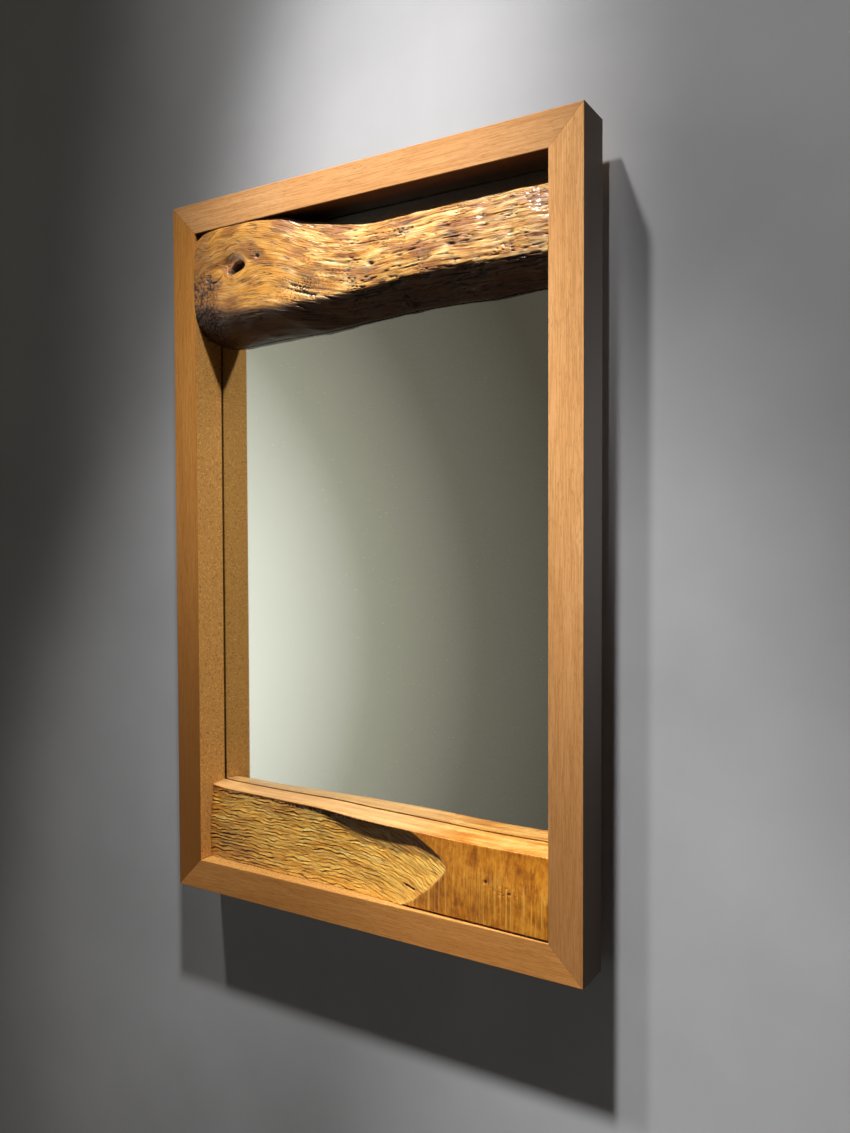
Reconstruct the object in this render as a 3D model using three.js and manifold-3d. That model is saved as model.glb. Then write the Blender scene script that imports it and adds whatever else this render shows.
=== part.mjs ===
// A wall mirror in a deep mitred box frame of planed hardwood.
// A varnished branch crosses the top of the recess and a weathered beam offcut lies along its bottom.
// Units are millimetres. X runs along the wall to the right, Y into the wall, Z up.
// The origin is the centre of the wall cleat's back face, so the wall is the plane y = 0.

import * as THREE from "three";
import { mergeVertices } from "three/addons/utils/BufferGeometryUtils.js";
import Module from "manifold-3d";

const wasm = await Module();
wasm.setup();

// Frame
const WIDTH = 500;
const HEIGHT = 780;
const FACE = 34; // width of a frame member seen from the front
const FRAME_DEPTH = 45;
const GLASS = 4;
const REBATE = 10; // how far the glass and its packing reach behind the frame's face
const STAND_OFF = 18; // wall to the back of the frame

// Back of the mirror
const BOARD = 5.8;
const BOARD_INSET = 12;
const CLEAT = { length: 300, thickness: 12, height: 60 };
const HOOK = { length: 300, height: 45, air: 1 }; // the cleat on the mirror, and its clearance to the wall
const LEDGE_BELOW_TOP = 46; // from the frame's top edge down to the front lip of the cleats' bevel
const SPACER = { size: 40, thickness: 10, x: 200, z: -350 };
const PAD = 1.6;

const FIT = 0.2; // glue line, or air between two faces that meet
const RUN = 0.3; // clearance around a pin, screw or biscuit in its hole
const SIDES = 12; // facets of a small round piece

// Where the main planes lie
const FRAME_BACK = -STAND_OFF;
const FRAME_FRONT = FRAME_BACK - FRAME_DEPTH;
const GLASS_FRONT = FRAME_BACK - GLASS;
const HALF_X = WIDTH / 2 - FACE; // half the opening's width
const HALF_Z = HEIGHT / 2 - FACE; // half the opening's height
const BOARD_BACK = FRAME_BACK + FIT + BOARD;
const LEDGE_Z = HEIGHT / 2 - LEDGE_BELOW_TOP;
const CLEAT_MIDDLE = LEDGE_Z - CLEAT.height / 2 - CLEAT.thickness / 2; // middle of the cleat's back face

// Sizes of the branch across the top, one row for each station along X, all below or behind the opening's top front edge:
// along X, top, depth of the top's front shoulder, level of the front ridge, depth of the ridge, level of the underside
const BRANCH = [
  [-HALF_X, 13, 8, 84, -2.8, 114],
  [-203, 5, 6, 86, -3, 119],
  [-185, 1.6, 5, 88, -3, 121.5],
  [-150, 1, 5, 91, -2.5, 121],
  [-118, 1.4, 6, 94, -1, 120.5],
  [-90, 4, 9, 95, 0, 121],
  [-60, 10.5, 13, 96, 0.4, 120.5],
  [-25, 18, 16, 96.5, 0.4, 118.5],
  [10, 22.5, 18, 95.5, 0.4, 117],
  [60, 22, 18, 92.5, 0.6, 113],
  [120, 21.5, 18, 88.5, 0.8, 112.5],
  [175, 20.5, 18, 91, 0.6, 111],
  [HALF_X, 20.5, 18, 93, 0.6, 110.5],
];

// Sizes of the beam offcut along the bottom: along X, height at the glass, then depth behind the frame's front
// of the top front edge, of the face's hollow below it, and of the bottom front edge
const OFFCUT = [
  [-HALF_X, 85, 21, 17, 16.8],
  [-190, 84, 18, 16.5, 16.2],
  [-150, 83.2, 18, 17, 15.2],
  [-100, 83, 15, 16.5, 14],
  [-50, 83, 12, 17, 13],
  [0, 81.4, 7, 15, 12],
  [50, 80.3, 5, 9, 10.5],
  [107, 78.4, 5, 4, 5.5],
  [144, 77.8, 5, 3.2, 2.8],
  [HALF_X, 78.2, 5, 2.2, 1],
];

function finish(colour, roughness, metalness = 0) {
  return new THREE.MeshStandardMaterial({ color: colour, roughness, metalness });
}

const planedHardwood = finish(0xb27a45, 0.5);
const branchWood = finish(0xb9722c, 0.28);
const beamWood = finish(0xb4762f, 0.32);
const mirrorGlass = finish(0xb9bdb4, 0.03, 1);
const corkStrip = finish(0x8a6a48, 0.9);
const plywood = finish(0xc9a878, 0.7);
const beechPin = finish(0xd2ac78, 0.6);
const pine = finish(0xcfa468, 0.65);
const zincSteel = finish(0xb8b39a, 0.35, 1);
const greyFelt = finish(0x4b4a48, 0.95);

// A closed solid for joining and cutting, from any closed geometry.
function solid(geometry) {
  const bare = geometry.clone();
  bare.deleteAttribute("normal");
  bare.deleteAttribute("uv");
  const merged = mergeVertices(bare, 1e-4);
  return new wasm.Manifold(
    new wasm.Mesh({
      numProp: 3,
      vertProperties: merged.attributes.position.array,
      triVerts: new Uint32Array(merged.index.array),
    }),
  );
}

// The geometry of a solid that has been joined or cut.
function surface(body) {
  const mesh = body.getMesh();
  const geometry = new THREE.BufferGeometry();
  geometry.setAttribute("position", new THREE.BufferAttribute(mesh.vertProperties, 3));
  geometry.setIndex(new THREE.BufferAttribute(mesh.triVerts, 1));
  geometry.computeVertexNormals();
  return geometry;
}

// A mesh with its name, material and place.
function piece(name, geometry, material, x = 0, y = 0, z = 0) {
  const mesh = new THREE.Mesh(geometry, material);
  mesh.name = name;
  mesh.position.set(x, y, z);
  return mesh;
}

// A flat plate in the XZ plane, with its back at y = 0 and its front towards the room.
function plate(corners, thickness) {
  const outline = new THREE.Shape(corners.map(([x, z]) => new THREE.Vector2(x, z)));
  const geometry = new THREE.ExtrudeGeometry(outline, { depth: thickness, bevelEnabled: false });
  return geometry.rotateX(Math.PI / 2);
}

// A bar along X whose end view is given as corners in the YZ plane.
function bar(corners, length) {
  const outline = new THREE.Shape(corners.map(([y, z]) => new THREE.Vector2(y, z)));
  const geometry = new THREE.ExtrudeGeometry(outline, { depth: length, bevelEnabled: false });
  return geometry
    .translate(0, 0, -length / 2)
    .rotateX(Math.PI / 2)
    .rotateZ(Math.PI / 2);
}

// A box that is given by its size along X, Y and Z.
function block(x, y, z) {
  return new THREE.BoxGeometry(x, y, z);
}

// A solid through a row of rings, each a closed loop of points in the same order, with flat ends.
function loft(rings) {
  const count = rings[0].length;
  const middle = (ring) => ring.reduce((sum, p) => sum.add(p), new THREE.Vector3()).divideScalar(ring.length);
  const points = [...rings.flat(), middle(rings[0]), middle(rings.at(-1))];
  const index = [];
  for (let r = 0; r + 1 < rings.length; r++) {
    for (let i = 0; i < count; i++) {
      const a = r * count + i;
      const b = r * count + ((i + 1) % count);
      index.push(a, b, b + count, a, b + count, a + count);
    }
  }
  const first = rings.length * count;
  const last = first - count;
  for (let i = 0; i < count; i++) {
    const next = (i + 1) % count;
    index.push(first, next, i, first + 1, last + i, last + next);
  }
  const geometry = new THREE.BufferGeometry().setFromPoints(points);
  geometry.setIndex(index);
  geometry.computeVertexNormals();
  return geometry;
}

// A pin with its axis along Z and its middle at the origin.
function pin(radius, length) {
  return new THREE.CylinderGeometry(radius, radius, length, SIDES).rotateX(Math.PI / 2);
}

// A countersunk screw that points down -Z, with the flat of its head at z = 0. Growing it gives its hole.
function screwBlank(shank, head, length, grow = 0) {
  const taper = head - shank;
  const tip = 2.2 * shank;
  const profile = [
    [0, -length - grow],
    [shank + grow, tip - length],
    [shank + grow, -taper - grow],
    [head + grow, -grow / 2],
    [head + grow, grow],
    [0, grow],
  ];
  const outline = profile.map(([r, z]) => new THREE.Vector2(r, z));
  return new THREE.LatheGeometry(outline, SIDES).rotateX(Math.PI / 2);
}

// The same screw with a cross recess in its head.
function screw(shank, head, length) {
  const wing = block(1.25 * head, 0.3 * head, 0.8 * head);
  const across = solid(wing);
  const along = solid(wing.clone().rotateZ(Math.PI / 2));
  const cross = across.add(along);
  return surface(solid(screwBlank(shank, head, length)).subtract(cross));
}

// A mesh that sits in holes of its own shape, only larger. Its hole is kept with it, in place.
function fixing(name, geometry, hole, material, x, y, z, turn = [0, 0, 0]) {
  const mesh = piece(name, geometry, material, x, y, z);
  mesh.rotation.set(...turn);
  mesh.updateMatrix();
  mesh.userData.hole = solid(hole.clone().applyMatrix4(mesh.matrix));
  return mesh;
}

// Flat wooden biscuits, half in each member, lying across the four mitres.
function mitreBiscuits() {
  const half = { length: 19, width: 6, depth: 1.5 };
  const lens = (grow) => {
    const length = half.length + grow;
    const width = half.width + grow;
    const radius = (length ** 2 + width ** 2) / (2 * width);
    const sweep = Math.asin(length / radius);
    const outline = new THREE.Shape();
    outline.absarc(0, width - radius, radius, Math.PI / 2 - sweep, Math.PI / 2 + sweep);
    outline.absarc(0, radius - width, radius, 1.5 * Math.PI - sweep, 1.5 * Math.PI + sweep);
    const depth = 2 * (half.depth + grow);
    const geometry = new THREE.ExtrudeGeometry(outline, { depth, bevelEnabled: false, curveSegments: 6 });
    return geometry.translate(0, 0, -depth / 2).rotateX(Math.PI / 2);
  };
  const y = FRAME_FRONT + 20;
  const corners = [
    ["top_left", -1, 1],
    ["top_right", 1, 1],
    ["bottom_left", -1, -1],
    ["bottom_right", 1, -1],
  ];
  return corners.map(([corner, sx, sz]) => {
    const x = sx * (HALF_X + FACE / 2);
    const z = sz * (HALF_Z + FACE / 2);
    const turn = [0, (-sx * sz * Math.PI) / 4, 0];
    return fixing("biscuit_" + corner, lens(0), lens(RUN), beechPin, x, y, z, turn);
  });
}

// Two dowels at each end of the branch, half in the branch and half in the stile.
function branchDowels() {
  const radius = 4;
  const length = 38;
  const made = [];
  for (const [side, sx] of [["left", -1], ["right", 1]]) {
    for (const [level, depth, below] of [["upper", 22, 45], ["lower", 26, 88]]) {
      const name = "branch_dowel_" + side + "_" + level;
      const place = [sx * HALF_X, FRAME_FRONT + depth, HALF_Z - below];
      const hole = pin(radius + RUN, length + 2 * RUN);
      made.push(fixing(name, pin(radius, length), hole, beechPin, ...place, [0, Math.PI / 2, 0]));
    }
  }
  return made;
}

// Screws up through the bottom rail that hold the beam offcut.
function offcutScrews() {
  const size = [2.2, 4.5, 60];
  const inset = 0.4; // how far the head is sunk below the rail's underside
  return [-140, 0, 140].map((x, i) => {
    const turn = [Math.PI, 0, 0];
    const z = inset - HEIGHT / 2;
    const hole = screwBlank(...size, RUN);
    return fixing("offcut_screw_" + (i + 1), screw(...size), hole, zincSteel, x, FRAME_FRONT + 30, z, turn);
  });
}

// Screws from behind, along the edge of the backing board, into the frame.
function boardScrews() {
  const size = [1.6, 3.4, 18];
  const x = WIDTH / 2 - BOARD_INSET - 6;
  const z = HEIGHT / 2 - BOARD_INSET - 6;
  const places = [];
  for (const sz of [1, -1]) {
    for (const sx of [-1, 1]) {
      places.push([0.9 * sx * x, sz * z]);
    }
  }
  for (const sx of [-1, 1]) {
    for (const level of [-0.7, 0, 0.7]) {
      places.push([sx * x, level * z]);
    }
  }
  return places.map(([px, pz], i) => {
    const hole = screwBlank(...size, RUN);
    const place = [px, BOARD_BACK - RUN, pz];
    return fixing("board_screw_" + (i + 1), screw(...size), hole, zincSteel, ...place, [-Math.PI / 2, 0, 0]);
  });
}

// Screws through the mirror's cleat and the board into the top rail.
function cleatScrews() {
  const size = [2, 4, 34];
  const y = -HOOK.air - RUN;
  const z = HEIGHT / 2 - BOARD_INSET - 7;
  return [-129, -43, 43, 129].map((x, i) => {
    const hole = screwBlank(...size, RUN);
    return fixing("cleat_screw_" + (i + 1), screw(...size), hole, zincSteel, x, y, z, [-Math.PI / 2, 0, 0]);
  });
}

// The four mitred members, rebated behind for the glass.
function frameMembers() {
  const mitre = FIT / 2;
  const rail = (side) => {
    const outer = side * (HEIGHT / 2);
    const inner = side * HALF_Z;
    return [
      [mitre - WIDTH / 2, outer],
      [WIDTH / 2 - mitre, outer],
      [HALF_X - mitre, inner],
      [mitre - HALF_X, inner],
    ];
  };
  const stile = (side) => {
    const outer = side * (WIDTH / 2);
    const inner = side * HALF_X;
    return [
      [outer, mitre - HEIGHT / 2],
      [outer, HEIGHT / 2 - mitre],
      [inner, HALF_Z - mitre],
      [inner, mitre - HALF_Z],
    ];
  };
  const opening = block(WIDTH - 2 * FACE + 2 * REBATE, 2 * GLASS, HEIGHT - 2 * FACE + 2 * REBATE);
  const rebate = solid(opening.translate(0, FRAME_BACK, 0));
  const outlines = { top_rail: rail(1), bottom_rail: rail(-1), left_stile: stile(-1), right_stile: stile(1) };
  return Object.entries(outlines).map(([name, corners]) => {
    const timber = plate(corners, FRAME_DEPTH).translate(0, FRAME_BACK, 0);
    return [name, solid(timber).subtract(rebate), planedHardwood];
  });
}

// A rounded branch, sawn flat where it lies on the glass.
function branch() {
  const flat = GLASS_FRONT - FRAME_FRONT - FIT;
  const steps = 5;
  const rings = BRANCH.map(([x, top, shoulder, ridge, proud, bottom]) => {
    const loop = [[flat, top + 2]];
    for (let i = 0; i <= steps; i++) {
      const turn = (i / steps) * (Math.PI / 2);
      loop.push([shoulder - (shoulder - proud) * Math.sin(turn), ridge - (ridge - top) * Math.cos(turn)]);
    }
    for (let i = 1; i <= steps; i++) {
      const turn = (i / steps) * (Math.PI / 2);
      loop.push([flat - (flat - proud) * Math.cos(turn), ridge + (bottom - ridge) * Math.sin(turn)]);
    }
    const along = Math.sign(x) * Math.min(Math.abs(x), HALF_X - FIT);
    return loop.map(([depth, below]) => new THREE.Vector3(along, FRAME_FRONT + depth, HALF_Z - below));
  });
  return solid(loft(rings));
}

// The offcut of a beam, whose weathered face hangs back on the left and whose sawn face stands forward on the right.
function offcut() {
  const flat = GLASS_FRONT - FRAME_FRONT - FIT;
  const eased = 2; // how much lower the top's front edge is than its back
  const rings = OFFCUT.map(([x, height, edge, hollow, foot]) => {
    const loop = [
      [flat, FIT],
      [flat, height],
      [edge + eased, height - eased / 2],
      [edge, height - 2 * eased],
      [hollow, 0.72 * height],
      [hollow, 0.35 * height],
      [foot, FIT],
    ];
    const along = Math.sign(x) * Math.min(Math.abs(x), HALF_X - FIT);
    return loop.map(([depth, up]) => new THREE.Vector3(along, FRAME_FRONT + depth, up - HALF_Z));
  });
  return solid(loft(rings));
}

// The silvered glass and the thin cork strips that centre it in the rebate.
function glassAndPacking() {
  const air = 2;
  const strip = air - 2 * FIT;
  const width = WIDTH - 2 * FACE + 2 * REBATE;
  const height = HEIGHT - 2 * FACE + 2 * REBATE;
  const depth = GLASS - 2 * FIT;
  const y = FRAME_BACK - GLASS / 2;
  const glass = block(width - 2 * air, depth, height - 2 * air);
  const flat = block(width - 2 * air, depth, strip);
  const upright = block(strip, depth, height - 2 * air);
  return [
    piece("mirror_glass", glass, mirrorGlass, 0, y, 0),
    piece("top_packing_strip", flat, corkStrip, 0, y, (height - air) / 2),
    piece("bottom_packing_strip", flat, corkStrip, 0, y, (air - height) / 2),
    piece("left_packing_strip", upright, corkStrip, (air - width) / 2, y, 0),
    piece("right_packing_strip", upright, corkStrip, (width - air) / 2, y, 0),
  ];
}

// The board that closes the back.
function backingBoard() {
  const board = block(WIDTH - 2 * BOARD_INSET, BOARD, HEIGHT - 2 * BOARD_INSET);
  return solid(board.translate(0, BOARD_BACK - BOARD / 2, 0));
}

// The bevelled strip on the back of the mirror that hooks over the wall cleat.
function mirrorCleat() {
  const front = BOARD_BACK + FIT;
  const back = -HOOK.air;
  const lip = LEDGE_Z + FIT;
  const top = HEIGHT / 2 - BOARD_INSET;
  const corners = [
    [front, lip],
    [back, lip - (back - front)],
    [back, top],
    [front, top],
  ];
  return solid(bar(corners, HOOK.length));
}

// The strip on the wall, with a bevelled top edge and countersunk holes for wall screws.
function wallCleat() {
  const front = -CLEAT.thickness + FIT;
  const ledge = CLEAT.height / 2 + CLEAT.thickness / 2;
  const corners = [
    [front, -CLEAT.height / 2 + CLEAT.thickness / 2],
    [0, -CLEAT.height / 2 + CLEAT.thickness / 2],
    [0, ledge - CLEAT.thickness],
    [front, ledge],
  ];
  let body = solid(bar(corners, CLEAT.length));
  for (const x of [-125, -50, 50, 125]) {
    const hole = screwBlank(2.5, 5, 3 * CLEAT.thickness, RUN).rotateX(-Math.PI / 2).rotateZ(Math.PI);
    body = body.subtract(solid(hole.translate(x, front, 0)));
  }
  return piece("wall_cleat", surface(body), pine);
}

// Two blocks with felt pads that keep the lower edge as far from the wall as the cleats keep the upper one.
function spacers() {
  const made = [];
  const y = BOARD_BACK + FIT + SPACER.thickness / 2;
  for (const [side, sx] of [["left", -1], ["right", 1]]) {
    const spacer = block(SPACER.size, SPACER.thickness, SPACER.size);
    const pad = block(SPACER.size - 6, PAD, SPACER.size - 6);
    made.push(piece(side + "_spacer", spacer, pine, sx * SPACER.x, y, SPACER.z));
    made.push(piece(side + "_felt_pad", pad, greyFelt, sx * SPACER.x, -PAD / 2, SPACER.z));
  }
  return made;
}

// Everything that hangs on the wall cleat, with its middle at the group's origin.
function hangingMirror() {
  const fixings = [...mitreBiscuits(), ...branchDowels(), ...offcutScrews(), ...boardScrews(), ...cleatScrews()];
  const timbers = [
    ...frameMembers(),
    ["top_branch", branch(), branchWood],
    ["bottom_offcut", offcut(), beamWood],
    ["backing_board", backingBoard(), plywood],
    ["mirror_cleat", mirrorCleat(), pine],
  ];
  const group = new THREE.Group();
  for (const [name, body, material] of timbers) {
    const bored = fixings.reduce((rest, part) => rest.subtract(part.userData.hole), body);
    group.add(piece(name, surface(bored), material));
  }
  group.add(...fixings, ...glassAndPacking(), ...spacers());
  return group;
}

const wallMirror = new THREE.Group();
const mirror = hangingMirror();
mirror.position.z = -CLEAT_MIDDLE;
wallMirror.add(wallCleat(), mirror);

export default wallMirror;
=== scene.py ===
# A wall mirror in a deep mitred box frame, with a varnished branch across the top of its recess and a beam
# offcut along the bottom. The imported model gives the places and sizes, and this script the finished looks.
import math

import bmesh
import bpy
from mathutils import Euler, Matrix, Vector, noise


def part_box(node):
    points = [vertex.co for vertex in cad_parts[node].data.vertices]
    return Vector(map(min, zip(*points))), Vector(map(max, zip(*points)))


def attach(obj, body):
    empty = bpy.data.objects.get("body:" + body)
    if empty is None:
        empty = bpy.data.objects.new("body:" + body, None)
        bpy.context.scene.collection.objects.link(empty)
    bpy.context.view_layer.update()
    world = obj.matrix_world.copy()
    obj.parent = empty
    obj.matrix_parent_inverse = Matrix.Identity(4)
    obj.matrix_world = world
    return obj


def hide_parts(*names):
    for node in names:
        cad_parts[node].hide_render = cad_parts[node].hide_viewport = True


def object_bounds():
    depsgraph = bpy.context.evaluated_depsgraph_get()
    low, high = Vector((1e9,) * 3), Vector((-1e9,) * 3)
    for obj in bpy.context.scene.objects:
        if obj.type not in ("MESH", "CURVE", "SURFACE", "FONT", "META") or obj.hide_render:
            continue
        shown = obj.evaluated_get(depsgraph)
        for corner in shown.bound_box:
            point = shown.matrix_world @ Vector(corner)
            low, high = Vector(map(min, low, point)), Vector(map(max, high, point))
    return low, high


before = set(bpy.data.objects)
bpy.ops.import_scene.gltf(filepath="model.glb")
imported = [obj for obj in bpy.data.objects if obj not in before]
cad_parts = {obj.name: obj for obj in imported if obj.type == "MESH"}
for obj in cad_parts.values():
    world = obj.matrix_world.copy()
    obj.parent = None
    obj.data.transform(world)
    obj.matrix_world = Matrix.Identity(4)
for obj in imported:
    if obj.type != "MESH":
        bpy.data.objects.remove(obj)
cad_low, cad_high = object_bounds()
mm = 0.001

# ----------------------------------------------------------------------------------------------------
# Camera: it stands to the right of the mirror, level with its middle, and looks back at it from under a
# metre away, tipped down a little.
stile_low, stile_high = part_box("left_stile")
middle = Vector((0, stile_low.y, (stile_low.z + stile_high.z) / 2))  # middle of the frame's front
camera = bpy.data.objects.new("camera", bpy.data.cameras.new("camera"))
camera.location = middle + Vector((554.3, -765, 8.6)) * mm
camera.rotation_euler = Euler(map(math.radians, (88.45, 0.19, 31.41)))
camera.data.sensor_fit = "VERTICAL"
camera.data.sensor_height = 36
camera.data.sensor_width = 36
camera.data.lens = 29.44
bpy.context.scene.collection.objects.link(camera)
bpy.context.scene.camera = camera
bpy.context.scene.view_settings.view_transform = "Standard"

# ----------------------------------------------------------------------------------------------------
# Materials: they are written as expressions, because a finish reads best as one. Arithmetic on a Value adds
# Math nodes, and every other node comes from the add method of a Finish.


class Value:
    """An output socket of a finish under construction."""

    def __init__(self, finish, socket):
        self.finish = finish
        self.socket = socket

    def math(self, operation, *others):
        return self.finish.add("Math", {"operation": operation}, dict(enumerate((self, *others))))

    def __add__(self, other):
        return self.math("ADD", other)

    def __mul__(self, other):
        return self.math("MULTIPLY", other)

    def __sub__(self, other):
        return self.math("SUBTRACT", other)

    def __rsub__(self, other):
        return self.math("MULTIPLY_ADD", -1.0, other)

    def __truediv__(self, other):
        return self.math("DIVIDE", other)

    def __abs__(self):
        return self.math("ABSOLUTE")

    __radd__ = __add__
    __rmul__ = __mul__


class Finish:
    """A material, or the room, under construction. One method adds its nodes."""

    def __init__(self, name, owner=None):
        self.material = owner or bpy.data.materials.new(name)
        self.material.use_nodes = True
        self.tree = self.material.node_tree
        self.tree.nodes.clear()

    def add(self, kind, settings=None, sockets=None, output=0):
        node = self.tree.nodes.new("ShaderNode" + kind)
        for key, setting in (settings or {}).items():
            if key == "stops":
                self.set_stops(node.color_ramp, setting)
            else:
                setattr(node, key, setting)
        for key, value in (sockets or {}).items():
            if isinstance(value, Value):
                self.tree.links.new(value.socket, node.inputs[key])
            else:
                node.inputs[key].default_value = value
        return Value(self, node.outputs[output]) if node.outputs else None

    def set_stops(self, ramp, stops):
        while len(ramp.elements) < len(stops):
            ramp.elements.new(0.5)
        for element, (position, colour) in zip(ramp.elements, stops):
            element.position = position
            element.color = (*colour, 1)

    def place(self, location=(0, 0, 0), rotation=(0, 0, 0)):
        """Object coordinates, in metres, moved and turned."""
        here = self.add("TexCoord", output="Object")
        return self.add("Mapping", {}, {"Vector": here, "Location": location, "Rotation": rotation})

    def stretched(self, vector, scale):
        return self.add("Mapping", {}, {"Vector": vector, "Scale": scale})

    def noise(self, vector, scale, detail=3.0, roughness=0.55, distortion=0.0):
        sockets = {"Vector": vector, "Scale": scale, "Detail": detail}
        sockets |= {"Roughness": roughness, "Distortion": distortion}
        return self.add("TexNoise", {}, sockets)

    def painted(self, name):
        """A number that the mesh carries at each vertex."""
        return self.add("Attribute", {"attribute_name": name}, output="Fac")

    def ramp(self, factor, *stops):
        return self.add("ValToRGB", {"stops": stops}, {"Fac": factor})

    def between(self, value, low, high):
        """0 below low, 1 above high, smooth between."""
        sockets = {"Value": value, "From Min": low, "From Max": high}
        return self.add("MapRange", {"interpolation_type": "SMOOTHSTEP"}, sockets)

    def mix(self, factor, one, other, blend="MIX"):
        one, other = (c if isinstance(c, Value) else (*c, 1) for c in (one, other))
        return self.add("Mix", {"data_type": "RGBA", "blend_type": blend}, {0: factor, 6: one, 7: other}, 2)

    def bump(self, height, distance, strength=1.0):
        return self.add("Bump", {}, {"Height": height, "Distance": distance, "Strength": strength})

    def surface(self, **sockets):
        """The shader itself; underscores in a name stand for spaces."""
        named = {key.replace("_", " "): value for key, value in sockets.items()}
        colour = named.get("Base Color")
        if isinstance(colour, tuple):
            named["Base Color"] = (*colour, 1)
        shader = self.add("BsdfPrincipled", {}, named)
        return self.done(shader)

    def done(self, shader):
        self.add("OutputMaterial", {}, {"Surface": shader})
        return self.material


# ----------------------------------------------------------------------------------------------------
# Stage: a plain matt wall that shows only from the room's side, and a plain pale floor well below the
# mirror. Neither is part of the object.
def panel(name, corners, material):
    bm = bmesh.new()
    bm.faces.new([bm.verts.new(corner) for corner in corners])
    mesh = bpy.data.meshes.new(name)
    bm.to_mesh(mesh)
    bm.free()
    mesh.materials.append(material)
    sheet = bpy.data.objects.new(name, mesh)
    bpy.context.scene.collection.objects.link(sheet)
    return sheet


def wall_paint():
    paint = Finish("wall_paint")
    shade = paint.noise(paint.place(), 3, 6)
    colour = paint.ramp(shade, (0.3, (0.36, 0.36, 0.372)), (0.7, (0.46, 0.46, 0.475)))
    matt = paint.add("BsdfPrincipled", {}, {"Base Color": colour, "Roughness": 0.9})
    clear = paint.add("BsdfTransparent")
    behind = paint.add("NewGeometry", output="Backfacing")
    return paint.done(paint.add("MixShader", {}, {0: behind, 1: matt, 2: clear}))


def floor_paint():
    paint = Finish("floor_paint")
    return paint.surface(Base_Color=(0.62, 0.61, 0.59), Roughness=0.8)


wall_reach = 3.0
floor_z = -1.45
ceiling_z = 2.4
wall_y = cad_high.y + 0.2 * mm
wall_corners = [
    (-wall_reach, wall_y, floor_z),
    (wall_reach, wall_y, floor_z),
    (wall_reach, wall_y, ceiling_z),
    (-wall_reach, wall_y, ceiling_z),
]
floor_corners = [
    (-wall_reach, -wall_reach, floor_z),
    (wall_reach, -wall_reach, floor_z),
    (wall_reach, wall_reach, floor_z),
    (-wall_reach, wall_reach, floor_z),
]
wall = panel("stage_wall", wall_corners, wall_paint())
wall.visible_shadow = False
floor = panel("stage_floor", floor_corners, floor_paint())
floor.visible_glossy = False
floor.visible_transmission = False


# ----------------------------------------------------------------------------------------------------
# Lights: four soft round lamps near the ceiling, one at the left, two in the middle and one at the right.
# Two lamps behind the wall light the mirror's back only, and their light doesn't bounce.
def lamp(name, place, aim, power, radius, spread, warmth, bounces=1024):
    data = bpy.data.lights.new(name, "SPOT")
    data.energy = power
    data.shadow_soft_size = radius
    data.spot_size = math.radians(spread)
    data.spot_blend = 1
    data.color = warmth
    data.cycles.max_bounces = bounces
    light = bpy.data.objects.new(name, data)
    light.location = middle + Vector(place) * mm
    towards = middle + Vector(aim) * mm - light.location
    light.rotation_euler = towards.to_track_quat("-Z", "Y").to_euler()
    bpy.context.scene.collection.objects.link(light)


warm_white = (1, 0.985, 0.97)
track_out, track_up = -1114, 2284  # where the lamps hang, from the middle of the frame's front
for name, along, aim, power, spread in (
    ("left_lamp", -452, (690, 33, -361), 180, 51.6),
    ("upper_lamp", 240, (17, 33, 399), 419, 14.5),
    ("lower_lamp", 100, (283, 33, -418), 463, 14.9),
    ("right_lamp", 935, (-190, 33, -130), 275, 15.5),
):
    lamp(name, (along, track_out, track_up), aim, power, 0.08, spread, warm_white)
for name, place, power in (("back_lamp", (-700, 1700, 500), 90), ("low_back_lamp", (800, 1700, 200), 50)):
    lamp(name, place, (0, 0, 0), power, 0.6, 70, (1, 1, 1), bounces=0)


def dim_room():
    """A dim room whose brightest part is far to the left, which is what the mirror shows."""
    world = bpy.data.worlds.new("room")
    bpy.context.scene.world = world
    room = Finish("room", world)
    facing = room.add("TexCoord", output="Generated")
    bearing = math.radians(60)
    bright_way = Vector((-math.sin(bearing), -math.cos(bearing), -0.10)).normalized()
    ways = {0: facing, 1: tuple(bright_way)}
    nearness = room.add("VectorMath", {"operation": "DOT_PRODUCT"}, ways, "Value")
    glow = room.ramp(
        nearness,
        (0.0, (0.066, 0.058, 0.049)),
        (0.78, (0.084, 0.074, 0.057)),
        (0.85, (0.17, 0.158, 0.125)),
        (0.905, (0.39, 0.375, 0.30)),
        (0.955, (0.98, 0.97, 0.86)),
        (1.0, (1.2, 1.19, 1.10)),
    )
    on_matt = room.add("LightPath", output="Is Diffuse Ray")
    rise = room.add("SeparateXYZ", {}, {"Vector": facing}, output=2)
    ceiling = room.between(rise, 0.25, 0.31) * 0.85
    strength = (1.0 - on_matt * 0.72) * (1.0 - ceiling)
    backdrop = room.add("Background", {}, {"Color": glow, "Strength": strength})
    room.add("OutputWorld", {}, {"Surface": backdrop})


dim_room()

# ----------------------------------------------------------------------------------------------------
# Frame: four members of planed, oiled hardwood, 34 mm wide and 45 mm deep, rebated behind for the glass
# and glued at the mitres over biscuits. Their outer faces are painted near-black, which is painted shade,
# and the faces towards the recess are left rougher than the planed ones.
def ease_edges(bm, edges, width, segments=2):
    """Rounds sharp edges over, as a plane or sandpaper does."""
    bmesh.ops.bevel(
        bm,
        geom=edges,
        offset=width,
        segments=segments,
        profile=0.5,
        affect="EDGES",
        material=-1,
        clamp_overlap=True,
    )


def keep(bm, name, material, body="mirror", replaces=(), smooth_under=40, planed=True):
    """Makes a bmesh a finished piece on a body. A planed piece shades flat between its eased edges."""
    mesh = bpy.data.meshes.new(name)
    bm.to_mesh(mesh)
    bm.free()
    mesh.materials.append(material)
    mesh.shade_smooth()
    mesh.set_sharp_from_angle(angle=math.radians(smooth_under))
    made = bpy.data.objects.new(name, mesh)
    bpy.context.scene.collection.objects.link(made)
    if planed:
        flat = made.modifiers.new("flat_faces", "WEIGHTED_NORMAL")
        flat.keep_sharp = True
    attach(made, body)
    if replaces:
        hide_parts(*replaces)
    return made


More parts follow.
